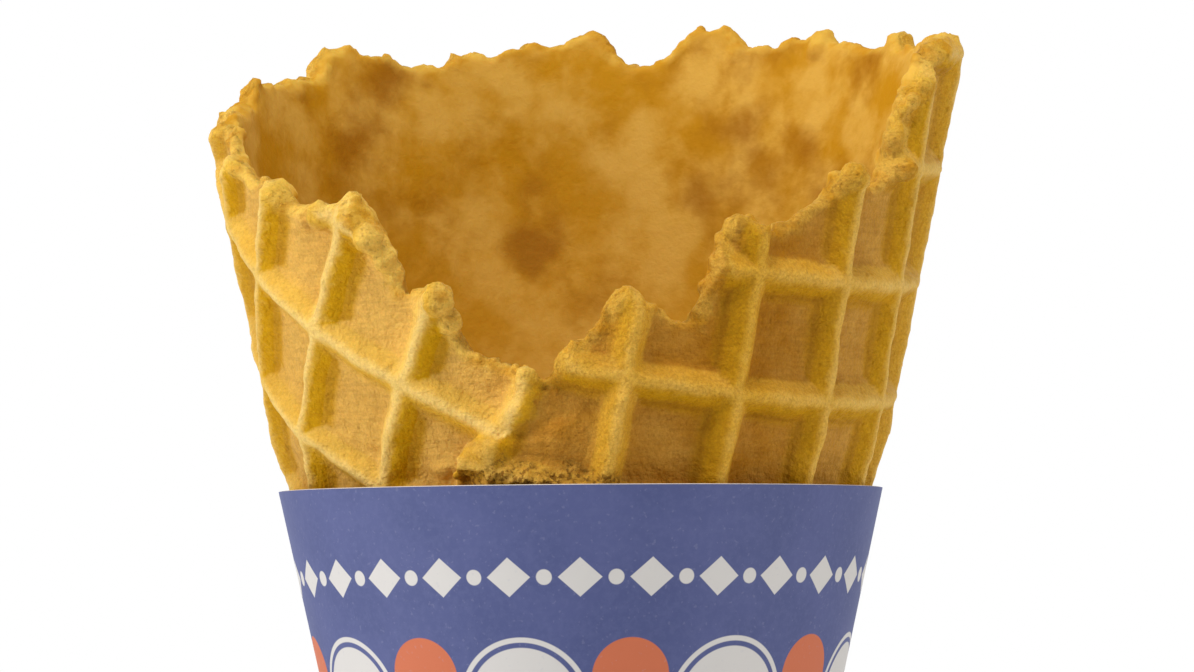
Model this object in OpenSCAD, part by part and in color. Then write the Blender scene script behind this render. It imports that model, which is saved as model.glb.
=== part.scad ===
// A hand-rolled waffle cone in its paper sleeve.
// Heights are measured from the point where the sleeve's sides would meet, then the whole part
// is lowered so that the ring where a cone holder carries it lies at the origin.
// Angles run from the front (-Y) towards +X. A total angle above 360 is a further turn of the roll.

/* [Cone] */
// Full angle of the cone inside the sleeve, in degrees
cone_angle = 24.8; // [22:0.2:28]
// Full angle of the part that stands out of the sleeve, in degrees
mouth_angle = 23.2; // [20:0.2:28]
// Height of the highest crumb on the rim
rim_top = 188.5; // [180:0.5:200]
// Height of the rolled tip
tip_h = 14; // [10:1:20]
// Height of the bottom of the hollow inside
hollow_h = 46; // [42:1:60]

/* [Wafer] */
// Thickness of the wafer between its ridges
web = 1.8; // [1.2:0.1:2.4]
// How far the ridges stand out of the web
ridge_h = 1.9; // [1:0.1:2.4]
// Width of a ridge at its foot
ridge_w = 6.6; // [4.5:0.1:8]
// Width of its crest
crest_w = 1; // [0.4:0.1:2]
// Distance from one ridge to the next
grid_pitch = 11.6; // [10:0.1:14]
// Turn of the grid on the flat wafer, in degrees
grid_turn = 11.4; // [0:0.1:45]
// How much deeper each turn of the roll lies than the one around it
layer_step = 2; // [1.8:0.1:3.2]
// Angle over which the wafer sinks under its own free edge, in degrees
sink_angle = 60; // [30:5:90]
// How much the wafer swells where it leaves the sleeve
swell = 0.6; // [0:0.1:1]
// Rounding of the broken rim
rim_round = 0.7; // [0:0.1:1.2]

/* [Paper sleeve] */
// Height of the sleeve's top edge
sleeve_h = 137; // [125:1:150]
// Height of its folded point
sleeve_tip_h = 3; // [2:0.5:5]
// Height up to which the point is folded shut
sleeve_shut_h = 8; // [6:0.5:12]
// Thickness of the paper
paper = 0.3; // [0.2:0.05:0.5]
// Thickness of the glue in the seam
glue = 0.1; // [0.05:0.05:0.2]
// Width of the glued lap at the top edge, as an angle in degrees
lap_angle = 19; // [10:1:30]
// Height where the lap starts
lap_h = 14; // [12:1:30]
// Gap between the wafer's ridges and the paper
sleeve_gap = 0.3; // [0.2:0.05:0.6]

/* [Holder] */
// Height of the ring where a cone holder carries the sleeve
seat_h = 100; // [80:1:110]

/* [Hidden] */

half = cone_angle / 2;
slope = tan(half);
mouth_slope = tan(mouth_angle / 2);
turn_rate = sin(half);
disc_d = rim_top / cos(half);
paper_r = paper / cos(half);
seam_at = 180;
joggle_angle = 1.5;
swell_run = 5;
wafer_color = [0.80, 0.58, 0.25];
paper_color = [0.33, 0.36, 0.56];
glue_color = [0.90, 0.88, 0.80];

// Columns round the cone above and below the sleeve's edge, and the rows up each stretch
cols = 120;
low_rows = 27;
high_rows = 20;
in_high_rows = 5;
in_low_rows = 9;

// Broken rim of the outer turn and of the wafer behind it: total angle, depth below rim_top
rim = [
    [-5, 41], [-4, 39], [-1.5, 38.3], [2, 37], [4, 35.3], [6, 33.5], [8, 32.5], [10, 33], [11.5, 34.5],
    [15, 35], [19.7, 36.2], [21.5, 35], [22.8, 31.5], [24.2, 28.3], [25.6, 26.4], [27.5, 26], [30, 26],
    [32, 27], [34, 28], [39.5, 25.7], [45.5, 23.6], [47, 21.8], [49, 21], [52, 21.4], [57.5, 22.7],
    [59, 22], [61, 20.7], [62.5, 18], [63.5, 14], [66, 12], [69, 9], [72, 7.3], [84, 6.4], [95, 5.5],
    [100, 4.9], [104.5, 5.3], [108, 6], [111.5, 5.6], [113.6, 4.9], [115, 3.8], [116.6, 3.6],
    [118.2, 4.6], [121.7, 4.9], [128, 3.9], [134.3, 3.1], [135, 2], [136.5, 1.9], [140, 2.6],
    [143.6, 2.6], [144.4, 3.3], [151.6, 2.6], [153.4, 0.9], [155, 0.3], [161, 1.1], [163, 2],
    [166, 3.9], [170, 4.2], [173, 3.7], [174.7, 1.5], [177, 0.4], [180, 0.9], [183, 2.2], [191.5, 2.3],
    [195, 3.3], [199.4, 3.1], [201, 3.4], [202.8, 4.5], [210, 5], [214, 4.2], [218, 4.1], [221, 3.4],
    [225, 3.7], [228.4, 4.4], [229.4, 6.9], [236, 7.6], [243, 8.4], [249, 8.6], [250.5, 9.2],
    [252.6, 10.9], [257, 11.5], [263, 12.4], [268, 13.7], [280, 17], [288, 20], [291, 21.2],
    [297, 20.9], [301, 22], [304, 24.5], [314.5, 24.4], [318.5, 23.6], [321, 24], [322.5, 26.5],
    [325, 28.3], [325.6, 31.5], [326.5, 33], [330, 32.6], [334, 32.7], [335.3, 34], [336.3, 35.4],
    [337, 37.3], [339, 38.7], [345, 39.9], [349.5, 40.6], [352, 41], [355, 41]];

// Free edge of the outer turn where it shows above the sleeve: depth below rim_top, total angle
free_edge = [[51, -26], [47.5, -21], [47, -14], [45, -8], [41, -5]];

// Where the grid on the front left has slipped against the front right: range of total angles,
// turn in degrees and slip towards the rim
slip_from = 180;
slip_to = 320;
slip_turn = 3.3;
slip_run = 7.7;
// A crossing of two ridges on the flat wafer, from the disc's edge point under the tip
crossing = [16, 148];

function smooth(t) = let (c = min(1, max(0, t))) c * c * (3 - 2 * c);

// Radius that the ridges' tops reach at a height
function ridge_top_r(z) =
    min(z, sleeve_h) * slope - paper_r - sleeve_gap
    + max(0, z - sleeve_h) * mouth_slope + swell * smooth((z - sleeve_h) / swell_run);

// Half the total angle that the rolled disc covers at a height
function cover(z) = acos(min(1, z / cos(half) / disc_d)) / turn_rate;

// Total angle in the middle of the disc, so that its edge meets the free edge above
mid_angle = free_edge[0][1] + cover(rim_top - free_edge[0][0]);

// Total angle of the outer turn's free edge, and of the innermost turn's end, at a height
function edge_at(z) =
    rim_top - z > free_edge[0][0] ? mid_angle - cover(z) : lookup(z - rim_top, edge_by_height);
edge_by_height = [for (e = free_edge) [-e[0], e[1]]];
function end_at(z) = max(edge_at(z) + 359.9, mid_angle + cover(z));

// Total angle of the outermost turn at an angle and a height
function outer_angle(a, z) = let (e = edge_at(z)) e + (a - e) - 360 * floor((a - e) / 360);

// How deep a turn of the roll lies, at an angle counted from its free edge
function depth(w) =
    layer_step * (floor(w / 360) + smooth((w - 360 * floor(w / 360) - 350 + sink_angle) / sink_angle));

// Height of a ridge over the web at a total angle and a height
function near(x) = abs(x - round(x)) * grid_pitch;
function ridge(a, z) =
    let (
        back = smooth((a - slip_from) / (slip_to - slip_from)),
        s = z / cos(half) - slip_run * back,
        t = a * turn_rate + slip_turn * back,
        p = [s * sin(t), s * cos(t)] - crossing,
        u = (p[0] * cos(grid_turn) - p[1] * sin(grid_turn)) / grid_pitch,
        v = (p[0] * sin(grid_turn) + p[1] * cos(grid_turn)) / grid_pitch,
        d = min(near(u), near(v)))
    ridge_h * (1 - smooth((2 * d - crest_w) / (ridge_w - crest_w)));

function outside_r(a, z) =
    let (w = outer_angle(a, z))
    ridge_top_r(z) - depth(w - edge_at(z)) - ridge_h + ridge(w, z);

function inside_r(a, z) =
    let (w = outer_angle(a, z), n = floor((end_at(z) - w) / 360))
    max(0.6, ridge_top_r(z) - depth(w + 360 * n - edge_at(z)) - ridge_h - web);

function rim_at(a) = rim_top - lookup(a < rim[0][0] ? a + 360 : a, rim);

function place(r, a, z) = [r * sin(a), -r * cos(a), z];
function angle_of(i, n) = -10 + 360 * i / n;

// Rings of the outside up to the rim, over its round top, and down the inside
edge_h = sleeve_h - 4;
low_zs = [for (i = [0 : low_rows]) tip_h + 1.5 + (edge_h - tip_h - 1.5) * i / low_rows];
inside_zs = [for (i = [0 : in_low_rows]) edge_h + (hollow_h - edge_h) * i / in_low_rows];

function low_ring(z) =
    [for (i = [0 : cols / 2 - 1]) let (a = angle_of(i, cols / 2)) place(outside_r(a, z), a, z)];
function high_ring(t) =
    [for (i = [0 : cols - 1])
        let (a = angle_of(i, cols), z = edge_h + (rim_at(a) - rim_round - edge_h) * t)
        place(outside_r(a, z), a, z)];
crest_ring =
    [for (i = [0 : cols - 1])
        let (a = angle_of(i, cols), z = rim_at(a), b = z - rim_round)
        place((outside_r(a, b) + inside_r(a, b)) / 2, a, z)];
function high_inside_ring(t) =
    [for (i = [0 : cols - 1])
        let (a = angle_of(i, cols), z = edge_h + (rim_at(a) - rim_round - edge_h) * t)
        place(inside_r(a, z), a, z)];
function low_inside_ring(z) =
    [for (i = [0 : cols / 2 - 1]) let (a = angle_of(i, cols / 2)) place(inside_r(a, z), a, z)];

rings = concat(
    [for (z = low_zs) low_ring(z)],
    [for (k = [1 : high_rows]) high_ring(k / high_rows)],
    [crest_ring],
    [for (k = [0 : in_high_rows - 1]) high_inside_ring(1 - k / in_high_rows)],
    [for (z = inside_zs) low_inside_ring(z)]);

// Index of each ring's first point, after the tip's point
function starts(n, at, i = 0) = i == len(n) ? [] : concat([at], starts(n, at + n[i], i + 1));

// Triangles between two rings, one of which may have half as many points as the other
function band(a, na, b, nb) =
    na == nb
        ? [for (i = [0 : na - 1], f = [0, 1])
            let (j = (i + 1) % na)
            f == 0 ? [a + i, b + i, b + j] : [a + i, b + j, a + j]]
        : na < nb
        ? [for (i = [0 : na - 1], f = [0 : 2])
            let (j = (i + 1) % na, m = b + 2 * i + 1, k = b + (2 * i + 2) % nb)
            f == 0 ? [a + i, b + 2 * i, m] : f == 1 ? [a + i, m, a + j] : [a + j, m, k]]
        : [for (i = [0 : nb - 1], f = [0 : 2])
            let (j = (i + 1) % nb, m = a + 2 * i + 1, k = a + (2 * i + 2) % na)
            f == 0 ? [b + i, m, a + 2 * i] : f == 1 ? [b + i, b + j, m] : [b + j, k, m]];

module waffle_cone() {
    sizes = [for (r = rings) len(r)];
    first = starts(sizes, 1);
    last = len(rings) - 1;
    bottom = first[last] + sizes[last];
    points = concat([[0, 0, tip_h]], [for (r = rings) each r], [[0, 0, hollow_h - 4]]);
    tip_fan = [for (i = [0 : sizes[0] - 1]) [0, 1 + i, 1 + (i + 1) % sizes[0]]];
    sides = [for (k = [0 : last - 1]) each band(first[k], sizes[k], first[k + 1], sizes[k + 1])];
    n = sizes[last];
    bottom_fan = [for (i = [0 : n - 1]) [first[last] + i, bottom, first[last] + (i + 1) % n]];
    color(wafer_color)
    translate([0, 0, -seat_h])
    polyhedron(points, concat(tip_fan, sides, bottom_fan), convexity = 6);
}

// A strip of cone wall between two heights, from one offset off the sleeve's surface to another
module strip(angle, from, to, bottom, top) {
    rotate_extrude(angle = angle, $fn = 120)
    polygon([
        [bottom * slope + from, bottom], [bottom * slope + to, bottom],
        [top * slope + to, top], [top * slope + from, top]]);
}

module paper_sleeve() {
    color(paper_color)
    translate([0, 0, -seat_h]) {
        rotate_extrude($fn = 120)
        polygon([
            [0, sleeve_tip_h], [sleeve_tip_h * slope, sleeve_tip_h], [sleeve_h * slope, sleeve_h],
            [sleeve_h * slope - paper_r, sleeve_h],
            [sleeve_shut_h * slope - paper_r, sleeve_shut_h], [0, sleeve_shut_h]]);
        // The far edge steps up over the near one and lies on it
        rotate([0, 0, seam_at - 90 - joggle_angle]) {
            strip(joggle_angle, -paper_r / 2, glue + paper_r / 2, lap_h, sleeve_h);
            strip(joggle_angle + lap_angle, glue, glue + paper_r, lap_h, sleeve_h);
        }
    }
}

module seam_glue() {
    color(glue_color)
    translate([0, 0, -seat_h])
    rotate([0, 0, seam_at - 90])
    strip(lap_angle, 0, glue, lap_h, sleeve_h);
}

waffle_cone();
paper_sleeve();
seam_glue();
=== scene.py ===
import math
import random
import bpy
import numpy as np
from mathutils import Matrix, Vector, noise


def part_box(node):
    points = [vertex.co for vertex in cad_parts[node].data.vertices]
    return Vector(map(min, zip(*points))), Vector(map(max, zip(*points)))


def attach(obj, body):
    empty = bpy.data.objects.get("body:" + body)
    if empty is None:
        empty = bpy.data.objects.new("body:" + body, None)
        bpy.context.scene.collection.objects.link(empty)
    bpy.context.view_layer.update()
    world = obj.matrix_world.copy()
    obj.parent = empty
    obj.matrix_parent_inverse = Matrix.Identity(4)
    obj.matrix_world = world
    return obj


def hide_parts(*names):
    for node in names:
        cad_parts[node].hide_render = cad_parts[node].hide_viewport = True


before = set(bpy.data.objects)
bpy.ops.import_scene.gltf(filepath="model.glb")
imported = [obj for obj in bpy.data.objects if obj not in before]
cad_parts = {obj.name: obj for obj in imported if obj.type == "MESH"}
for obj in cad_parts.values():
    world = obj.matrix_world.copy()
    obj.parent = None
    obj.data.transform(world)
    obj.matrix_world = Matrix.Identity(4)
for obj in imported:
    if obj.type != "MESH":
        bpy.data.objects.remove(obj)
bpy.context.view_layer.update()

bpy.ops.object.select_all(action="DESELECT")
mm = 0.001

# The cone that wafer and sleeve share, in mm and degrees. Heights count from the point where the
# sleeve's sides would meet; angles run from the front towards +X, and past 360 for a further turn.
cone = {
    "angle": 24.8,          # full angle inside the sleeve
    "mouthAngle": 23.2,     # full angle above it
    "seatHeight": 100,      # the holder's ring, at the origin
    "paper": 0.3,
    "gap": 0.3,             # between wafer and paper
}
half = math.radians(cone["angle"] / 2)
slope = math.tan(half)
mouthSlope = math.tan(math.radians(cone["mouthAngle"] / 2))
sleeveTip, sleeveTop = [corner.z / mm + cone["seatHeight"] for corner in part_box("paper_sleeve")]
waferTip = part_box("waffle_cone")[0].z / mm + cone["seatHeight"]


def smooth(t):
    t = np.clip(t, 0, 1)
    return t * t * (3 - 2 * t)


def toPoints(radius, degrees, height):
    # from radius, angle and height on the cone to mm in the shared frame
    turn = np.radians(degrees)
    return np.stack([radius * np.sin(turn), -radius * np.cos(turn), height - cone["seatHeight"]], -1)


def placePoints(obj, radius, degrees, height):
    points = toPoints(radius, degrees, height) * mm
    obj.data.vertices.foreach_set("co", points.astype(np.float32).ravel())
    obj.data.update()


def readPoints(obj):
    points = np.empty(len(obj.data.vertices) * 3, np.float32)
    obj.data.vertices.foreach_get("co", points)
    points = points.reshape(-1, 3).astype(float) / mm
    degrees = np.degrees(np.arctan2(points[:, 0], -points[:, 1]))
    return np.hypot(points[:, 0], points[:, 1]), degrees, points[:, 2] + cone["seatHeight"]


def ripple(points, size, seed):
    shift = Vector((seed, 2.3 * seed, 0))
    return np.array([noise.noise(Vector(point) / size + shift) for point in points.tolist()])


def addMask(obj, name, values):
    layer = obj.data.attributes.new(name, "FLOAT", "POINT")
    layer.data.foreach_set("value", np.clip(values, 0, 1).astype(np.float32))


def addGroup(obj, name, values):
    group = obj.vertex_groups.new(name=name)
    for level in range(1, 9):      # eight strengths are plenty for a displacement
        chosen = np.nonzero(np.round(np.clip(values, 0, 1) * 8) == level)[0]
        group.add(chosen.tolist(), level / 8, "REPLACE")


def applyModifiers(obj):
    bpy.context.view_layer.objects.active = obj
    for name in [m.name for m in obj.modifiers]:
        bpy.ops.object.modifier_apply(modifier=name)


def newSheet(name, columns, rows):
    bpy.ops.object.select_all(action="DESELECT")
    bpy.ops.mesh.primitive_grid_add(x_subdivisions=columns, y_subdivisions=rows, size=1)
    sheet = bpy.context.active_object
    sheet.name = name
    points = np.empty(len(sheet.data.vertices) * 3, np.float32)
    sheet.data.vertices.foreach_get("co", points)
    points = points.reshape(-1, 3).astype(float) + 0.5
    return sheet, points[:, 0], points[:, 1]


def closeSeam(obj, distance):
    bpy.context.view_layer.objects.active = obj
    bpy.ops.object.mode_set(mode="EDIT")
    bpy.ops.mesh.select_all(action="SELECT")
    bpy.ops.mesh.remove_doubles(threshold=distance * mm)
    bpy.ops.mesh.normals_make_consistent(inside=False)
    bpy.ops.object.mode_set(mode="OBJECT")


def lumps(obj, name, size, strength, group, middle):
    texture = bpy.data.textures.new(name, "CLOUDS")
    texture.noise_scale = size * mm
    texture.noise_depth = 2
    push = obj.modifiers.new(name, "DISPLACE")
    push.texture = texture
    push.texture_coords = "LOCAL"
    push.strength = strength * mm
    push.mid_level = middle
    push.vertex_group = group


view = {
    "lens": 135.68,
    "across": 1.75,     # place in mm, with the height counted as the cone's
    "away": 450,
    "height": 129,
    "lookUp": 2.98,     # in degrees, as the lean is
    "lean": 0.45,
}


def makeCamera():
    data = bpy.data.cameras.new("camera")
    data.lens = view["lens"]
    data.sensor_width = 36
    data.clip_start = 0.01
    camera = bpy.data.objects.new("camera", data)
    bpy.context.scene.collection.objects.link(camera)
    place = Vector((view["across"], -view["away"], view["height"] - cone["seatHeight"])) * mm
    turn = Matrix.Rotation(math.radians(90 + view["lookUp"]), 4, "X")
    lean = Matrix.Rotation(math.radians(-view["lean"]), 4, "Z")
    camera.matrix_world = Matrix.Translation(place) @ turn @ lean
    bpy.context.scene.camera = camera
    print("camera made")


def tone(r, g, b):
    # red, green and blue from 0 to 255, as a linear colour
    linear = [((c / 255 + 0.055) / 1.055) ** 2.4 if c > 10 else c / 255 / 12.92 for c in (r, g, b)]
    return linear + [1]


class Wiring:
    # short ways to add and join the nodes of a material or a group
    def __init__(self, tree):
        self.tree = tree

    def put(self, socket, value):
        if isinstance(value, bpy.types.NodeSocket):
            self.tree.links.new(value, socket)
        else:
            socket.default_value = value

    def add(self, kind, **inputs):
        node = self.tree.nodes.new(kind)
        for name, value in inputs.items():
            self.put(node.inputs[name.replace("_", " ")], value)
        return node

    def math(self, operation, a, b=0.0):
        node = self.tree.nodes.new("ShaderNodeMath")
        node.operation = operation
        self.put(node.inputs[0], a)
        self.put(node.inputs[1], b)
        return node.outputs[0]

    def times(self, a, b):
        return self.math("MULTIPLY", a, b)

    def plus(self, a, b):
        return self.math("ADD", a, b)

    def minus(self, a, b):
        return self.math("SUBTRACT", a, b)

    def swing(self, value, share):
        # how far a noise lies above or below its middle
        return self.times(self.minus(value, 0.5), share)

    def mix(self, factor, a, b):
        node = self.tree.nodes.new("ShaderNodeMix")
        node.data_type = "RGBA"
        for socket, value in zip((node.inputs[0], node.inputs[6], node.inputs[7]), (factor, a, b)):
            self.put(socket, value)
        return node.outputs[2]

    def tint(self, under, mask, share, over):
        return self.mix(self.times(mask, share), under, over)

    def noise(self, vector, size, detail=3.0, rough=0.5, warp=0.0):
        node = self.add("ShaderNodeTexNoise", Vector=vector, Scale=1 / (size * mm), Detail=detail,
                        Roughness=rough, Distortion=warp)
        return node.outputs["Fac"]

    def ramp(self, value, low, high):
        node = self.add("ShaderNodeMapRange", Value=value, From_Min=low, From_Max=high)
        node.interpolation_type = "SMOOTHSTEP"
        return node.outputs["Result"]

    def mask(self, name):
        node = self.tree.nodes.new("ShaderNodeAttribute")
        node.attribute_name = name
        return node.outputs["Fac"]

    def place(self, stretch=(1, 1, 1)):
        place = self.add("ShaderNodeTexCoord").outputs["Object"]
        if stretch == (1, 1, 1):
            return place
        return self.add("ShaderNodeMapping", Vector=place, Scale=stretch).outputs["Vector"]

    def bump(self, height, distance, normal=None):
        node = self.add("ShaderNodeBump", Height=height, Distance=distance * mm)
        if normal:
            self.put(node.inputs["Normal"], normal)
        return node.outputs["Normal"]


def newMaterial(name, **sockets):
    material = bpy.data.materials.new(name)
    material.use_nodes = True
    shader = material.node_tree.nodes["Principled BSDF"]
    for socket, value in sockets.items():
        shader.inputs[socket.replace("_", " ")].default_value = value
    return material, Wiring(material.node_tree), shader.inputs


def makeGrainGroup():
    # fine grain of crumb or fibre: a height for a bump, and a mask of scattered specks
    group = bpy.data.node_groups.new("grain", "ShaderNodeTree")
    group.interface.new_socket("Vector", in_out="INPUT", socket_type="NodeSocketVector")
    for name, way in (("Scale", "INPUT"), ("Speck", "INPUT"), ("Height", "OUTPUT"), ("Mask", "OUTPUT")):
        group.interface.new_socket(name, in_out=way, socket_type="NodeSocketFloat")
    wires = Wiring(group)
    given = wires.add("NodeGroupInput").outputs

    def layer(share, detail, rough):
        scale = wires.times(given["Scale"], share)
        return wires.add("ShaderNodeTexNoise", Vector=given["Vector"], Scale=scale, Detail=detail,
                         Roughness=rough).outputs["Fac"]

    height = wires.plus(wires.times(layer(1.0, 4.0, 0.65), 0.6), wires.times(layer(0.25, 2.0, 0.5), 0.4))
    specks = wires.ramp(layer(0.7, 1.0, 0.5), given["Speck"], wires.plus(given["Speck"], 0.08))
    out = wires.add("NodeGroupOutput")
    wires.put(out.inputs["Height"], height)
    wires.put(out.inputs["Mask"], specks)
    return group


grainGroup = makeGrainGroup()


def grain(wires, size, speck):
    node = wires.tree.nodes.new("ShaderNodeGroup")
    node.node_tree = grainGroup
    wires.put(node.inputs["Vector"], wires.place())
    wires.put(node.inputs["Scale"], 1 / (size * mm))
    wires.put(node.inputs["Speck"], speck)
    return node.outputs["Height"], node.outputs["Mask"]


wafer = {
    "web": 1.8,             # thickness between the ridges
    "ridgeHeight": 1.9,
    "ridgeWidth": 4.5,
    "goldenShadeWidth": 6.8,       # how wide the painted golden shade spreads beside a ridge, on its shaded side
    "behindWidth": 11,      # and how wide a ridge shows through on the inner wall
    "sag": 0.1,             # how much steeper a flank is that faces down
    "lean": 0.18,           # or away from the front
    "crestWidth": 0.6,
    "waver": 0.07,          # of the ridges, sideways
    "pitch": 11.6,          # grid of the iron
    "gridTurn": 11.4,
    "crossing": (16, 148),
    "slipFrom": 180,        # where the rolled sheet has crept on the cone, in total angle
    "slipTo": 320,
    "slipTurn": 3.3,
    "slipRun": 7.7,
    "layerStep": 2.0,       # from one turn of the roll down to the next
    "sinkAngle": 60,
    "swell": 0.6,           # where it leaves the sleeve
    "swellRun": 5,
    "forLumps": 0.2,        # how far the skin is set back, to leave room for the lumps of the bake
    "hollowHeight": 46,
    "paleBelow": 176,       # height on the inner wall, and the run over which it grows paler
    "paleRun": 30,
    "rimTop": 188.5,
    "rimRadius": 36,        # about halfway round, for lengths along the rim
    "rimWear": 0.35,        # what the crumbs take off the rim
    "fray": 0.7,            # raggedness of the free edge
    "frayFrom": 134,        # and the height where it begins
    "tornFrom": 136,        # heights where the free edge shows its crumb
    "tornTo": 149,
    "thinEdge": 0.9,        # how much thinner the sheet is there
    "crumblingTop": 139.9,  # patch that crumbles at the sleeve's edge: its heights and its angles
    "crumblingFoot": 135,
    "crumblingFrom": -25,
    "crumblingTo": 10,
    "crumbs": 260,
    "crumbSize": (0.3, 0.85),
    "cleanRim": (110, 250),     # angles at the back where the rim broke cleaner
    "cleanShare": 0.6,      # of the crumbs that are missing there
    "edgeCrumbs": 40,       # down the free edge
    "edgeCrumbSize": (0.3, 0.6),
    "knobSize": (1.5, 1.95),
    "knobSink": 0.25,
    "lumps": [              # name, size, strength, where and middle level
        ("unevenBake", 3.4, 0.5, "skin", 0.6),
        ("fineBake", 1.2, 0.22, "skin", 0.6),
        ("roughBreak", 1.0, 0.7, "broken", 0.5),
        ("brokenCrumb", 0.7, -1.3, "porous", 0.4),
    ],
    "columns": 640,
    "voxel": 0.36,
    "triangles": 190000,
    "bakedTones": {         # where it is baked less and where more
        "cell": ((236, 186, 90), (176, 116, 12)),
        # lit, shaded and deepest are painted light and shade on the flanks: lit towards the lamps, shaded
        # away from them, deepest at the foot of the shaded side
        "lit": ((242, 198, 98), (214, 158, 42)),
        "deepestShade": ((206, 152, 2), (182, 128, 1)),
        "shaded": ((222, 168, 8), (200, 146, 4)),
        "crest": ((246, 210, 122), (228, 176, 58)),
    },
    "tones": {
        # foot is painted shade: a dark line at the foot of the shaded flanks
        "foot": (128, 78, 4),
        "inner": (198, 139, 8),
        "innerPale": (222, 172, 72),
        "innerDeep": (158, 98, 2),
        "innerLow": (226, 178, 76),
        "crumb": (248, 206, 92),
        "crumbSpot": (212, 152, 32),
        "crumbBaked": (190, 130, 14),
        "porous": (190, 144, 56),
        # painted shade inside the small holes of the crumbling patch
        "holeShade": (132, 96, 30),
        "sand": (146, 86, 4),
        "fibre": (110, 66, 8),
        "pore": (112, 66, 8),
    },
}

# Broken rim, as angle and depth below rimTop
rim = np.array([
    [-5, 41], [-4, 39], [-1.5, 38.3], [2, 37], [4, 35.3], [6, 33.5], [8, 32.5], [10, 33], [11.5, 34.5],
    [15, 35], [19.7, 36.2], [21.5, 35], [22.8, 31.5], [24.2, 28.3], [25.6, 26.4], [27.5, 26], [30, 26],
    [32, 27], [34, 28], [39.5, 25.7], [45.5, 23.6], [47, 21.8], [49, 21], [52, 21.4], [57.5, 22.7],
    [59, 22], [61, 20.7], [62.5, 18], [63.5, 14], [66, 12], [69, 9], [72, 7.3], [84, 6.4], [95, 5.5],
    [100, 4.9], [104.5, 5.3], [108, 6], [111.5, 5.6], [113.6, 4.9], [115, 3.8], [116.6, 3.6],
    [118.2, 4.6], [121.7, 4.9], [128, 3.9], [134.3, 3.1], [135, 2], [136.5, 1.9], [140, 2.6],
    [143.6, 2.6], [144.4, 3.3], [151.6, 2.6], [153.4, 0.9], [155, 0.3], [161, 1.1], [163, 2],
    [166, 3.9], [170, 4.2], [173, 3.7], [174.7, 1.5], [177, 0.4], [180, 0.9], [183, 2.2], [191.5, 2.3],
    [195, 3.3], [199.4, 3.1], [201, 3.4], [202.8, 4.5], [210, 5], [214, 4.2], [218, 4.1], [221, 3.4],
    [225, 3.7], [228.4, 4.4], [229.4, 6.9], [236, 7.6], [243, 8.4], [249, 8.6], [250.5, 9.2],
    [252.6, 10.9], [257, 11.5], [263, 12.4], [268, 13.7], [280, 17], [288, 20], [291, 21.2],
    [297, 20.9], [301, 22], [304, 24.5], [314.5, 24.4], [318.5, 23.6], [321, 24], [322.5, 26.5],
    [325, 28.3], [325.6, 31.5], [326.5, 33], [330, 32.6], [334, 32.7], [335.3, 34], [336.3, 35.4],
    [337, 37.3], [339, 38.7], [345, 39.9], [349.5, 40.6], [352, 41], [355, 41]])
# Free edge of the outer turn above the sleeve, as depth below rimTop and angle
freeEdge = np.array([[51, -26], [47.5, -21], [47, -14], [45, -8], [41, -5]])
# How brown the wafer is baked along the sheet, by total angle
bakeAlong = np.array([[-30, 0.65], [0, 0.75], [18, 0.8], [30, 1], [50, 0.7], [75, 0.4], [130, 0.6],
                      [230, 0.55], [290, 0.15], [325, 0.05], [355, 0.3]])
# Patches on the inner wall, as angle, height, size and how much paler or browner
patchesInside = [(151, 177.6, 6, -1), (138, 173.2, 4.5, -0.8), (120, 181, 5, -0.8), (189, 163, 5, -1),
                 (157, 168.4, 3.5, -0.6), (215, 183, 6, -0.7), (226, 172, 8, -0.6), (124, 168.4, 5, -0.6),
                 (181, 179, 6, 1), (168, 176, 6, 1), (197, 159.5, 5, 1), (162, 163, 5, 0.9),
                 (173, 171, 6, 0.8), (206, 177, 3.5, 0.6)]
# Lumps and crumbs stuck to the outside, as angle, height and size
stuck = [(-53, 162.9, 1.5), (-47, 162.9, 1.6), (-40.5, 162.5, 1.9), (-37.2, 160.5, 1.6),
         (-36.2, 158.5, 1.4), (-25.5, 154.5, 1.8), (-24.2, 152.4, 1.3), (-9.5, 146.9, 1.3),
         (-9.5, 145.6, 1.4), (-10.2, 144.4, 1.4), (-12, 143.6, 1.3), (-14, 142.9, 1.1),
         (-17.5, 140.5, 1.5), (-20.5, 140.1, 1.2), (-30, 138.8, 1.2), (-27, 139.3, 0.9),
         (8, 145, 0.55), (8, 154, 0.5), (27, 161.3, 1.1), (48.8, 166.2, 1.5), (62.5, 167.4, 1.2),
         (61.8, 170.2, 1.1)]


def ridgeTopRadius(z):
    # straight inside the sleeve, swelling a little where it leaves it
    inside = np.minimum(z, sleeveTop) * slope - cone["paper"] / math.cos(half) - cone["gap"]
    above = np.maximum(0, z - sleeveTop)
    return inside + above * mouthSlope + wafer["swell"] * smooth(above / wafer["swellRun"])


def cover(z):
    # how far a disc with the cone's tip on its edge reaches round, to each side of its middle
    return np.degrees(np.arccos(np.clip(z / wafer["rimTop"], -1, 1))) / math.sin(half)


midAngle = freeEdge[0][1] + cover(wafer["rimTop"] - freeEdge[0][0])


def edgeAngle(z):
    above = np.interp(z - wafer["rimTop"], -freeEdge[:, 0], freeEdge[:, 1])
    return np.where(wafer["rimTop"] - z > freeEdge[0][0], midAngle - cover(z), above)


def tornEdge(z):
    # the free edge crumbles
    wave = np.sin(2.9 * z) + 0.6 * np.sin(6.1 * z + 1.3) + 0.4 * np.cos(10.7 * z)
    return edgeAngle(z) + wafer["fray"] * wave * smooth((z - wafer["frayFrom"]) / 3)


def outerAngle(a, z):
    # total angle along the sheet of what shows on the outside
    edge = tornEdge(z)
    return edge + np.mod(a - edge, 360)


def layerDepth(turned):
    # each turn sinks a layer deeper before it passes under the free edge
    sink = smooth((np.mod(turned, 360) - 350 + wafer["sinkAngle"]) / wafer["sinkAngle"])
    return wafer["layerStep"] * (np.floor(turned / 360) + sink)


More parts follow.
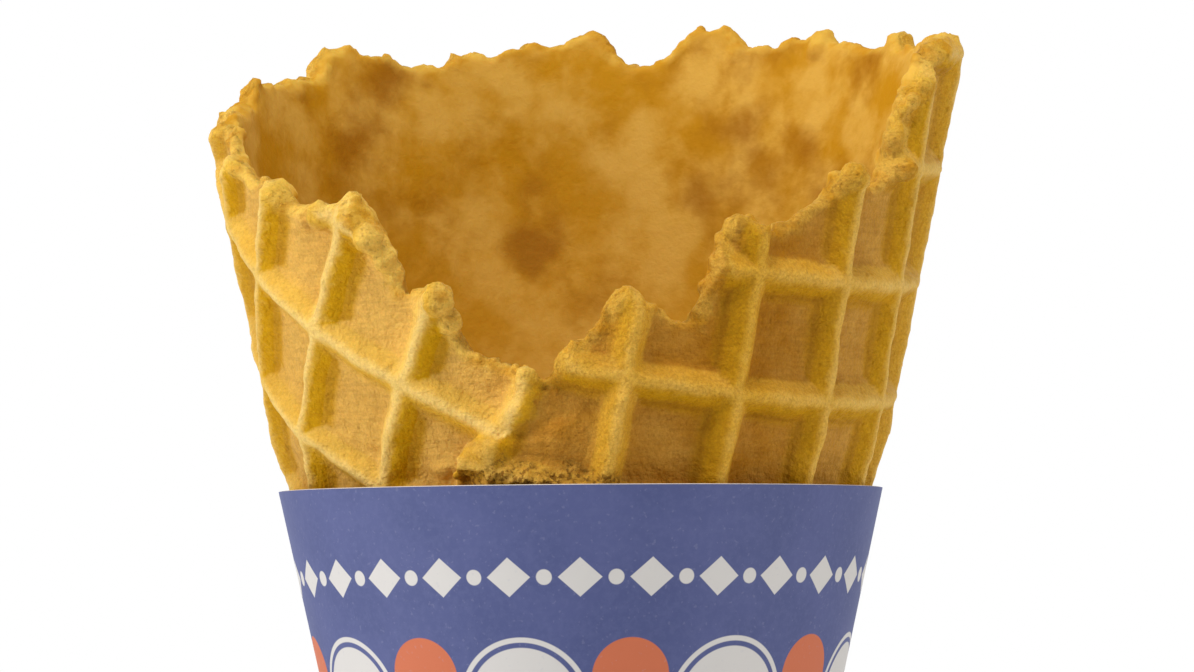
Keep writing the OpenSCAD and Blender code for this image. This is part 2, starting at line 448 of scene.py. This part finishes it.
def onGrid(total, z):
    # how far from the nearest ridge of each kind, in mm, and the way the flat sheet lies there
    back = smooth((total - wafer["slipFrom"]) / (wafer["slipTo"] - wafer["slipFrom"]))
    s = z / math.cos(half) - wafer["slipRun"] * back
    t = np.radians(total * math.sin(half) + wafer["slipTurn"] * back)
    x, y = s * np.sin(t) - wafer["crossing"][0], s * np.cos(t) - wafer["crossing"][1]
    turn = math.radians(wafer["gridTurn"])
    x, y = x + wafer["waver"] * np.sin(0.9 * y + 0.3 * x), y + wafer["waver"] * np.sin(1.1 * x - 0.4 * y)
    cells = [(x * math.cos(turn) - y * math.sin(turn)) / wafer["pitch"],
             (x * math.sin(turn) + y * math.cos(turn)) / wafer["pitch"]]
    return [(c - np.round(c)) * wafer["pitch"] for c in cells], t - turn


def ridgeRise(total, z, width=wafer["ridgeWidth"]):
    # the ridges lean, so the flanks turned down and away from the front are the steeper ones
    away, lie = onGrid(total, z)
    aside = wafer["lean"] * np.clip(2 * np.sin(2 * np.radians(total)), -1, 1)
    steeper = [np.sign(away[0]) * (aside * np.cos(lie) - wafer["sag"] * np.sin(lie)),
               np.sign(away[1]) * (-aside * np.sin(lie) - wafer["sag"] * np.cos(lie))]
    away = np.minimum(*[np.abs(d) * (1 + extra) for d, extra in zip(away, steeper)])
    fall = np.clip((2 * away - wafer["crestWidth"]) / (width - wafer["crestWidth"]), 0, 1)
    return 1 - 0.45 * smooth(fall) - 0.55 * fall


def crestLine(total, z):
    away = onGrid(total, z)[0]
    return 1 - smooth((np.minimum(*np.abs(away)) - 0.2) / 0.7)


def paintedShadeSide(a, total, z):
    # painted shade: the flanks turned down and to the front, away from the lamps at the sides and above,
    # are coloured as if in shade
    away, lie = onGrid(total, z)
    sideways = np.clip(2 * np.sin(2 * np.radians(a)), -1, 1)
    facing = [np.sign(away[0]) * (0.8 * sideways * np.cos(lie) + 0.8 * np.sin(lie)),
              np.sign(away[1]) * (-0.8 * sideways * np.sin(lie) + 0.8 * np.cos(lie))]
    return 0.5 - 0.5 * np.where(np.abs(away[0]) < np.abs(away[1]), *facing)


def outsideRadius(a, z):
    total = outerAngle(a, z)
    past = total - tornEdge(z)
    thin = wafer["thinEdge"] * (1 - smooth(past / 10)) * smooth((z - wafer["frayFrom"]) / 3)
    lowered = layerDepth(past) + wafer["ridgeHeight"] * (1 - ridgeRise(total, z)) + thin
    return ridgeTopRadius(z) - lowered


def innerTotal(a, z):
    # total angle of the last turn, which shows on the inner wall
    total = outerAngle(a, z)
    end = np.maximum(tornEdge(z) + 359.9, midAngle + cover(z))
    return total + 360 * np.floor((end - total) / 360)


def insideRadius(a, z):
    depth = layerDepth(innerTotal(a, z) - tornEdge(z))
    return np.maximum(0.6, ridgeTopRadius(z) - depth - wafer["ridgeHeight"] - wafer["web"])


def rimHeight(a):
    first = rim[0][0]
    spread = np.linspace(-0.5, 0.5, 5)
    drops = [np.interp(np.mod(a + d - first, 360) + first, rim[:, 0], rim[:, 1]) for d in spread]
    return wafer["rimTop"] - np.mean(drops, 0)


def rimRing(count):
    # angle, height and rounding of the rim at evenly spaced columns
    a = -10 + 360 * np.arange(count + 1) / count
    ring = toPoints(wafer["rimRadius"], a, np.full(count + 1, 100.0))
    top = rimHeight(a) - wafer["rimWear"] + 0.5 * ripple(ring, 1.9, 3) + 0.3 * ripple(ring, 0.8, 7)
    top[-1] = top[0]
    return a, top, 0.6 + 1.1 * ridgeRise(outerAngle(a, top - 1.5), top - 1.5)


def innerPatches(radius, a, z):
    # 0 where browner, 1 where paler and 0.5 between
    wave = ripple(toPoints(radius, a, z), 3, 21)
    patch = np.zeros(len(z))
    for turn, height, size, change in patchesInside:
        across = np.radians((a - turn + 180) % 360 - 180) * radius
        patch += change * (1 - smooth(np.hypot(across, z - height) / size + 0.35 * wave))
    return 0.5 + 0.5 * np.clip(patch, -1, 1)


def shapeWafer():
    outLow, outHigh, cap, inHigh, inLow = 110, 120, 16, 50, 60
    rows = outLow + outHigh + cap + inHigh + inLow
    sheet, u, v = newSheet("waferCone", wafer["columns"], rows)
    column = np.round(u * wafer["columns"]).astype(int)
    row = np.round(v * rows)
    a, top, rounding = [values[column] for values in rimRing(wafer["columns"])]
    foot = top - rounding
    edge = sleeveTop - 4        # the rows lie closer above this
    blunt = waferTip + 0.4

    def along(start, count):
        return np.clip((row - start) / count, 0, 1)

    over = along(outLow + outHigh, cap) * math.pi
    z = blunt + (edge - blunt) * along(0, outLow)
    z = z + (foot - edge) * along(outLow, outHigh) + rounding * np.sin(over)
    z = z - (foot - edge) * along(outLow + outHigh + cap, inHigh)
    z = z - (edge - wafer["hollowHeight"]) * along(rows - inLow, inLow)
    low = np.minimum(z, foot)
    outer, inner = outsideRadius(a, low) - wafer["forLumps"], insideRadius(a, low)
    radius = inner + (outer - inner) * (0.5 + 0.5 * np.cos(over))
    ends = (row == 0) | (row == rows)
    radius = np.where(ends, 0.02, radius)
    z = np.where(row == 0, waferTip, np.where(row == rows, wafer["hollowHeight"] - 3, z))
    placePoints(sheet, radius, a, z)
    closeSeam(sheet, 0.03)
    return sheet


def alongRim(step):
    # points every so many mm along the rim, up and down its steps too, and the way into the wafer there
    a, top = rimRing(2000)[:2]
    radius = wafer["rimRadius"]
    run = np.concatenate([[0], np.cumsum(np.hypot(np.radians(np.diff(a)) * radius, np.diff(top)))])
    marks = np.arange(0, run[-1], step)
    a, top = np.interp(marks, run, a), np.interp(marks, run, top)
    across, rise = np.gradient(np.radians(a) * radius), np.gradient(top)
    length = np.hypot(across, rise)
    return a, top, rise / length, -across / length


def inFrom(ring, i, distance):
    # from a point of the rim into the wafer
    a, top, sideways, down = ring
    turned = math.degrees(sideways[i] * distance / wafer["rimRadius"])
    return a[i] + turned, top[i] + down[i] * distance


def addBall(size, radius, a, z):
    place = toPoints(np.array(radius), np.array(a), np.array(z)) * mm
    bpy.ops.mesh.primitive_ico_sphere_add(subdivisions=2, radius=size * mm, location=place)
    return bpy.context.active_object


def makeKnobs(pick, ring):
    # a knob where each ridge ends at the rim
    a, top = ring[:2]
    rise = ridgeRise(outerAngle(a, top - 1.3), top - 1.3)
    knobs = []
    last = -100
    apart = 9       # steps along the rim
    for i in range(1, len(a) - 1):
        if rise[i] > 0.9 and rise[i] >= rise[i - 1] and rise[i] >= rise[i + 1] and i - last > apart:
            size = pick.uniform(*wafer["knobSize"])
            turn, z = inFrom(ring, i, 0.9 * size)
            radius = outsideRadius(turn, z) - size - wafer["knobSink"]
            knobs.append(addBall(size, radius, turn, z))
            last = i
    print("knobs on the rim:", len(knobs))
    return knobs


def makeCrumbs(pick, ring):
    # crumbs in the break all round the rim
    count = len(ring[0])
    cleanFrom, cleanTo = wafer["cleanRim"]
    crumbs = []
    for number in range(wafer["crumbs"]):
        i = pick.randrange(count)
        if cleanFrom < ring[0][i] < cleanTo and pick.random() < wafer["cleanShare"]:
            continue
        size = pick.uniform(*wafer["crumbSize"])
        turn, z = inFrom(ring, i, pick.uniform(0.0, 0.8))
        deep, deepZ = inFrom(ring, i, 1.2)
        outer, inner = outsideRadius(deep, deepZ), insideRadius(deep, deepZ)
        radius = inner + (outer - inner) * pick.uniform(0.15, 0.9)
        crumbs.append(addBall(size, min(radius, outer - 0.9 * size), turn, z))
    return crumbs


def makeStuck(pick):
    # crumbs down the free edge, and the lumps stuck to the outside
    balls = []
    for number in range(wafer["edgeCrumbs"]):
        z = pick.uniform(137, 147)
        edge = float(tornEdge(z)) + pick.uniform(0.3, 2)
        size = pick.uniform(*wafer["edgeCrumbSize"])
        balls.append(addBall(size, outsideRadius(edge + 1, z) - 0.5 * size, edge, z))
    for turn, z, size in stuck:
        balls.append(addBall(size, outsideRadius(turn, z) - 0.45 * size, turn, z))
    return balls


def makeWafer():
    sheet = shapeWafer()
    print("wafer rolled:", len(sheet.data.vertices), "points")
    pick = random.Random(5)
    ring = alongRim(0.4)
    balls = makeKnobs(pick, ring) + makeCrumbs(pick, ring) + makeStuck(pick)
    bpy.ops.object.select_all(action="DESELECT")
    for part in balls + [sheet]:
        part.select_set(True)
    bpy.context.view_layer.objects.active = sheet
    bpy.ops.object.join()
    fuse = sheet.modifiers.new("fuse", "REMESH")
    fuse.mode = "VOXEL"
    fuse.voxel_size = wafer["voxel"] * mm * 1
    soften = sheet.modifiers.new("soften", "SMOOTH")
    soften.iterations = 1
    applyModifiers(sheet)
    print("wafer fused:", len(sheet.data.vertices), "points")
    markWafer(sheet)
    for lump in wafer["lumps"]:
        lumps(sheet, *lump)
    applyModifiers(sheet)
    thin = sheet.modifiers.new("thin", "DECIMATE")
    thin.ratio = min(1, wafer["triangles"] / sum(len(p.vertices) - 2 for p in sheet.data.polygons))
    applyModifiers(sheet)
    sheet.vertex_groups.clear()
    sheet.data.shade_smooth()
    sheet.data.materials.append(waferMaterial())
    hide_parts("waffle_cone")
    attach(sheet, "cone")
    print("wafer done:", len(sheet.data.polygons), "faces")


def markWafer(sheet):
    # masks for the material and strengths for the lumps, worked out from where each point lies
    radius, a, z = readPoints(sheet)
    foot = np.min([rimHeight(a + side) for side in (-2, 0, 2)], 0) - wafer["rimWear"] - 0.9
    low = np.minimum(z, foot)
    outer, inner = outsideRadius(a, low), insideRadius(a, low)
    outside = smooth(((radius - inner) / (outer - inner) - 0.35) / 0.3)
    total = outerAngle(a, low)
    rise = ridgeRise(total, low)
    # painted shade: which flanks face away from the lamps
    paintedShade = paintedShadeSide(a, total, low)
    atRim = smooth((z - foot) / 0.9)
    past = np.radians(total - tornEdge(low)) * radius
    torn = (z < wafer["tornTo"]) * (z > wafer["tornFrom"])
    atEdge = 0.5 * (1 - smooth((past - 0.1) / 0.7)) * outside * torn
    broken = np.maximum(atRim, atEdge)
    wave = ripple(toPoints(radius, a, z), 2.2, 9)
    crumbling = smooth((wafer["crumblingTop"] - 0.04 * (a + 28) + 2 * wave - z) / 0.9)
    crumbling = crumbling * smooth(z - wafer["crumblingFoot"])
    crumbling = crumbling * smooth((a - wafer["crumblingFrom"]) / 3)
    crumbling = crumbling * smooth((wafer["crumblingTo"] - a) / 4) * outside
    masks = {
        "rise": rise * outside,
        "crest": crestLine(total, low) * outside,
        "paintedShade": paintedShade,
        # painted shade: a golden band beside each ridge, on its shaded side
        "goldenShade": ridgeRise(total, low, wafer["goldenShadeWidth"]) * paintedShade * outside,
        "inside": 1 - outside,
        "depth": smooth((wafer["paleBelow"] - z) / wafer["paleRun"]),
        "patch": innerPatches(radius, a, z),
        "broken": broken,
        "porous": crumbling,
        "behind": ridgeRise(innerTotal(a, low), low, wafer["behindWidth"]) * (1 - outside),
        "bake": np.interp(total, bakeAlong[:, 0], bakeAlong[:, 1]),
    }
    for name, values in masks.items():
        addMask(sheet, name, values)
    addGroup(sheet, "broken", broken)
    addGroup(sheet, "porous", crumbling)
    addGroup(sheet, "skin", 0.3 + 0.7 * rise * outside)


def waferMaterial():
    material, wires, shader = newMaterial(
        "bakedWafer", Roughness=0.62, Specular_IOR_Level=0.1, Subsurface_Weight=0.15,
        Subsurface_Radius=(0.9, 0.45, 0.12), Subsurface_Scale=mm)
    place = wires.place()
    rise, crested, paintedShade, goldenShade, inside, depth, patch, broken, porous, behind, bake = [
        wires.mask(name) for name in ("rise", "crest", "paintedShade", "goldenShade", "inside", "depth", "patch",
                                      "broken", "porous", "behind", "bake")]
    height, pores = grain(wires, 0.4, 0.6)
    blotches = wires.noise(place, 12, 3.0, 0.55, 0.3)
    clouds = wires.noise(wires.place((1, 1, 0.8)), 7.5, 4.0, 0.55)
    blots = wires.noise(place, 11, 2.0, 0.45)
    spots = wires.noise(place, 3.2, 3.0, 0.6, 0.2)
    sand = wires.noise(place, 0.3, 4.0, 0.75)
    fibres = wires.noise(wires.place((0.16, 0.16, 1)), 0.5, 2.0, 0.6)
    brown = wires.plus(bake, wires.swing(spots, 0.7))
    brown = wires.plus(brown, wires.swing(blotches, 0.5))
    tones = {name: tone(*colour) for name, colour in wafer["tones"].items()}

    def baked(name):
        less, more = wafer["bakedTones"][name]
        return wires.mix(brown, tone(*less), tone(*more))

    # outside: tan cells, golden flanks, pale crests, all browner where baked more. The flanks carry painted
    # light and shade: lit tones on the side towards the lamps, shaded tones and the darkest ones away from
    # them.
    shaded = wires.mix(wires.ramp(rise, 0.1, 0.6), baked("deepestShade"), baked("shaded"))
    # painted shade: the golden band beside the ridges on their shaded side
    golden = wires.times(wires.ramp(goldenShade, 0.04, 0.4), 0.85)
    golden = wires.math("MAXIMUM", golden, wires.ramp(rise, 0.08, 0.34))
    outer = wires.mix(golden, baked("cell"), wires.mix(paintedShade, baked("lit"), shaded))
    # painted shade: a dark line along the foot of each shaded flank, deeper where baked more
    foot = wires.times(wires.ramp(rise, 0, 0.1), wires.ramp(rise, 0.32, 0.12))
    outer = wires.tint(outer, wires.times(foot, paintedShade), wires.times(bake, 0.35), tones["foot"])
    outer = wires.mix(crested, outer, baked("crest"))

    # inside: soft golden and tan patches, darker between the ridges
    fleck = wires.swing(spots, 0.3)
    patch = wires.minus(patch, 0.5)
    pale = wires.plus(wires.plus(clouds, fleck), wires.times(behind, 0.03))
    pale = wires.plus(pale, wires.times(patch, 0.26))
    deep = wires.minus(wires.times(blots, 0.6), fleck)
    deep = wires.minus(deep, wires.times(behind, 0.03))
    deep = wires.minus(deep, wires.times(patch, 0.46))
    inner = wires.mix(wires.ramp(pale, 0.36, 0.7), tones["inner"], tones["innerPale"])
    inner = wires.tint(inner, wires.ramp(deep, 0.24, 0.52), 0.85, tones["innerDeep"])
    inner = wires.tint(inner, depth, 0.2, tones["innerLow"])
    skin = wires.mix(inside, outer, inner)

    # crumb in the breaks, and small holes where it crumbles, darkened with painted shade
    crumb = wires.mix(wires.ramp(spots, 0.4, 0.65), tones["crumb"], tones["crumbSpot"])
    crumb = wires.tint(crumb, bake, 0.6, tones["crumbBaked"])
    skin = wires.tint(skin, broken, 0.7, crumb)
    skin = wires.tint(skin, porous, 0.5, tones["porous"])
    holes = wires.ramp(wires.noise(place, 0.5, 3.0, 0.6), 0.52, 0.4)
    skin = wires.tint(skin, porous, holes, tones["holeShade"])

    # sandy bake, fibres and pores, on the outside only
    outward = wires.minus(1.0, inside)
    sandy = wires.times(wires.ramp(sand, 0.66, 0.3), wires.plus(0.2, wires.times(bake, 0.24)))
    skin = wires.tint(skin, sandy, outward, tones["sand"])
    lines = wires.times(wires.ramp(fibres, 0.56, 0.4), wires.minus(1.0, rise))
    skin = wires.tint(skin, wires.times(lines, outward), 0.13, tones["fibre"])
    dark = wires.plus(0.07, wires.times(broken, 0.2))
    skin = wires.tint(skin, wires.times(pores, outward), dark, tones["pore"])
    wires.put(shader["Base Color"], skin)

    # pits and grain, softer on the inner wall
    pits = wires.times(wires.noise(place, 1.3, 3.0, 0.6), wires.plus(0.2, wires.times(outward, 0.8)))
    rough = wires.times(height, wires.plus(0.25, wires.times(outward, 0.75)))
    wires.put(shader["Normal"], wires.bump(rough, 0.2, wires.bump(pits, 0.6)))
    return material


sleeve = {
    "seamAngle": 180,
    "lapAngle": 19,
    "lapFrom": 358,             # where the sheet starts to rise over its first edge
    "lapRun": 2.5,
    "glue": 0.1,
    "columns": 380,
    "rows": 90,
    "borderHeight": 128.4,      # row of dots and lozenges
    "borderCells": 26,
    "lozenge": (2.1, 1.9),      # half its width and half its height
    "borderDot": 0.75,          # a radius, as for every dot and ring
    "dotHeight": 116.5,         # first row of big dots
    "dotCells": 8,
    "dotStart": 0.77,           # share of a cell that the first row is turned by
    "dotShrink": 0.9,           # from one row of dots down to the next
    "dotRows": 9,
    "ringOutside": 6.4,
    "ringInside": 5.9,
    "whiteDot": 5.4,
    "redDot": 3.7,
    "redHigher": 2.6,           # than the rings beside it
    "inkEdge": 0.06,            # half the width over which the ink's edge fades
    "tones": {
        "blue": (84, 92, 142),
        "blueCloud": (76, 85, 134),
        "blueFleck": (98, 106, 152),
        "white": (216, 213, 210),
        "red": (206, 112, 76),
        "printedFibre": (170, 172, 192),
        "paper": (236, 233, 226),
        "paperCloud": (226, 221, 212),
        "paperFibre": (196, 186, 168),
    },
}
sleeveTones = {name: tone(*colour) for name, colour in sleeve["tones"].items()}


def makeSleeve():
    sheet, u, v = newSheet("paperSleeve", sleeve["columns"], sleeve["rows"])
    turned = u * (360 + sleeve["lapAngle"])
    z = sleeveTip + (sleeveTop - sleeveTip) * v
    lift = smooth((turned - sleeve["lapFrom"]) / sleeve["lapRun"])
    lift = lift * (cone["paper"] / math.cos(half) + sleeve["glue"])
    lift = lift * smooth((z - 6) / 8)       # the lap lies flat at the point
    placePoints(sheet, z * slope + lift, sleeve["seamAngle"] + turned, z)
    sheet.data.materials.append(printMaterial())
    sheet.data.materials.append(plainPaperMaterial())
    card = sheet.modifiers.new("card", "SOLIDIFY")
    card.thickness = cone["paper"] * mm
    card.offset = -1
    card.material_offset = 1
    card.material_offset_rim = 1
    applyModifiers(sheet)
    bpy.ops.object.shade_smooth_by_angle(angle=math.radians(40))
    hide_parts("paper_sleeve")
    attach(sheet, "sleeve")
    print("sleeve done:", len(sheet.data.polygons), "faces")


def paperFibres(wires, shader):
    height, fibres = grain(wires, 0.3, 0.66)
    wires.put(shader["Normal"], wires.bump(height, 0.02))
    return fibres


def plainPaperMaterial():
    material, wires, shader = newMaterial("plainPaper", Roughness=0.8, Specular_IOR_Level=0.3)
    fibres = paperFibres(wires, shader)
    clouds = wires.ramp(wires.noise(wires.place(), 6, 3.0), 0.3, 0.7)
    paper = wires.mix(clouds, sleeveTones["paper"], sleeveTones["paperCloud"])
    wires.put(shader["Base Color"], wires.tint(paper, fibres, 0.25, sleeveTones["paperFibre"]))
    return material


def printMaterial():
    # distances are in mm on the paper, round the cone from the middle of a cell and up its side
    material, wires, shader = newMaterial("printedPaper", Roughness=0.6, Specular_IOR_Level=0.35)
    fibres = paperFibres(wires, shader)
    x, y, z = wires.add("ShaderNodeSeparateXYZ", Vector=wires.place()).outputs
    height = wires.plus(wires.math("DIVIDE", z, mm), float(cone["seatHeight"]))
    turn = wires.math("DIVIDE", wires.math("ARCTAN2", x, wires.times(y, -1.0)), 2 * math.pi)
    around = wires.times(height, 2 * math.pi * slope)

    def acrossCell(cells, start):
        spot = wires.math("FRACT", wires.plus(wires.times(turn, float(cells)), start))
        return wires.times(wires.minus(spot, 0.5), wires.math("DIVIDE", around, float(cells)))

    def upFrom(level):
        return wires.math("DIVIDE", wires.minus(height, level), math.cos(half))

    def within(distance, size):
        return wires.ramp(distance, size + sleeve["inkEdge"], size - sleeve["inkEdge"])

    def disc(dx, dy, size):
        return within(wires.math("SQRT", wires.plus(wires.times(dx, dx), wires.times(dy, dy))), size)

    def lozenge(dx, dy, wide, high):
        sideways = wires.math("DIVIDE", wires.math("ABSOLUTE", dx), wide / high)
        return within(wires.plus(sideways, wires.math("ABSOLUTE", dy)), high)

    def either(masks):
        joined = masks[0]
        for mask in masks[1:]:
            joined = wires.math("MAXIMUM", joined, mask)
        return joined

    up = upFrom(sleeve["borderHeight"])
    cells = sleeve["borderCells"]
    whites = [lozenge(acrossCell(cells, 0.5), up, *sleeve["lozenge"]),
              disc(acrossCell(cells, 0.0), up, sleeve["borderDot"])]
    reds = []
    cells = sleeve["dotCells"]
    for number in range(sleeve["dotRows"]):
        size = sleeve["dotShrink"] ** number
        level = sleeve["dotHeight"] * size
        start = sleeve["dotStart"] + 0.5 * (number % 2)
        dx, dy = acrossCell(cells, start), upFrom(level)
        hoop, hollow = disc(dx, dy, sleeve["ringOutside"] * size), disc(dx, dy, sleeve["ringInside"] * size)
        whites.extend([wires.minus(hoop, hollow), disc(dx, dy, sleeve["whiteDot"] * size)])
        dx, dy = acrossCell(cells, start + 0.5), upFrom(level + sleeve["redHigher"] * size)
        reds.append(disc(dx, dy, sleeve["redDot"] * size))

    clouds = wires.ramp(wires.noise(wires.place(), 8, 4.0, 0.6), 0.3, 0.7)
    flecks = wires.ramp(wires.noise(wires.place(), 0.7, 3.0, 0.7), 0.4, 0.7)
    ink = wires.mix(clouds, sleeveTones["blue"], sleeveTones["blueCloud"])
    ink = wires.tint(ink, flecks, 0.3, sleeveTones["blueFleck"])
    ink = wires.mix(either(whites), ink, sleeveTones["white"])
    ink = wires.mix(either(reds), ink, sleeveTones["red"])
    wires.put(shader["Base Color"], wires.tint(ink, fibres, 0.12, sleeveTones["printedFibre"]))
    return material


paste = {
    "bubbleSize": 0.5,
    "bubbleShade": 0.4,
    "relief": 0.04,
    "tone": (232, 228, 214),
    "bubbleTone": (206, 198, 176),
}


def dressGlue():
    material, wires, shader = newMaterial("driedPaste", Roughness=0.5)
    height, bubbles = grain(wires, paste["bubbleSize"], 0.6)
    colour = wires.tint(tone(*paste["tone"]), bubbles, paste["bubbleShade"], tone(*paste["bubbleTone"]))
    wires.put(shader["Base Color"], colour)
    wires.put(shader["Normal"], wires.bump(height, paste["relief"]))
    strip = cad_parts["seam_glue"]
    strip.data.materials.clear()
    strip.data.materials.append(material)
    print("glue dressed")


studio = {
    "fill": 0.28,       # of the white surroundings, apart from what the camera sees
    "aim": 0.05,        # height that the lamps point at
    "floorRadius": 0.75,
    "lamps": [          # name, place, size, watts, colour
        ("highBox", (-0.12, -0.36, 0.74), 0.4, 4.2, (1.0, 0.99, 0.97)),
        ("leftBox", (-0.80, -0.20, 0.16), 0.4, 3.4, (1.0, 0.99, 0.98)),
        ("rightBox", (0.80, -0.20, 0.14), 0.4, 1.9, (1.0, 0.97, 0.93)),
    ],
}


def makeLamps():
    for name, place, size, watts, colour in studio["lamps"]:
        lamp = bpy.data.lights.new(name, "AREA")
        lamp.shape = "DISK"
        lamp.size = size
        lamp.energy = watts
        lamp.color = colour
        obj = bpy.data.objects.new(name, lamp)
        obj.location = place
        way = Vector((0, 0, studio["aim"])) - Vector(place)
        obj.rotation_euler = way.to_track_quat("-Z", "Y").to_euler()
        bpy.context.scene.collection.objects.link(obj)
    print("lamps made")


def makeSurroundings():
    # white to the camera and in reflections, dimmer as a light
    world = bpy.data.worlds.new("studio")
    world.use_nodes = True
    wires = Wiring(world.node_tree)
    paths = wires.add("ShaderNodeLightPath").outputs
    seen = wires.math("MAXIMUM", paths["Is Glossy Ray"], paths["Is Transmission Ray"])
    seen = wires.math("MAXIMUM", paths["Is Camera Ray"], seen)
    ground = world.node_tree.nodes["Background"]
    fill = studio["fill"]
    wires.put(ground.inputs["Strength"], wires.plus(fill, wires.times(seen, 1 - fill)))
    ground.inputs["Color"].default_value = (1, 1, 1, 1)
    bpy.context.scene.world = world
    bpy.context.scene.view_settings.view_transform = "Standard"
    print("surroundings made")


def makeFloor():
    # just under the sleeve's point
    place = (0, 0, (sleeveTip - cone["seatHeight"] - 0.5) * mm)
    bpy.ops.mesh.primitive_circle_add(vertices=128, radius=studio["floorRadius"], fill_type="NGON",
                                      location=place)
    floor = bpy.context.active_object
    floor.name = "floor"
    material, wires, shader = newMaterial("paleFloor", Roughness=0.9, Specular_IOR_Level=0.1)
    haze = wires.noise(wires.place(), 160, 2.0)
    wires.put(shader["Base Color"], wires.mix(haze, tone(240, 240, 240), tone(246, 246, 246)))
    floor.data.materials.append(material)
    print("floor made")


makeCamera()
makeLamps()
makeSurroundings()
makeFloor()
makeWafer()
makeSleeve()
dressGlue()
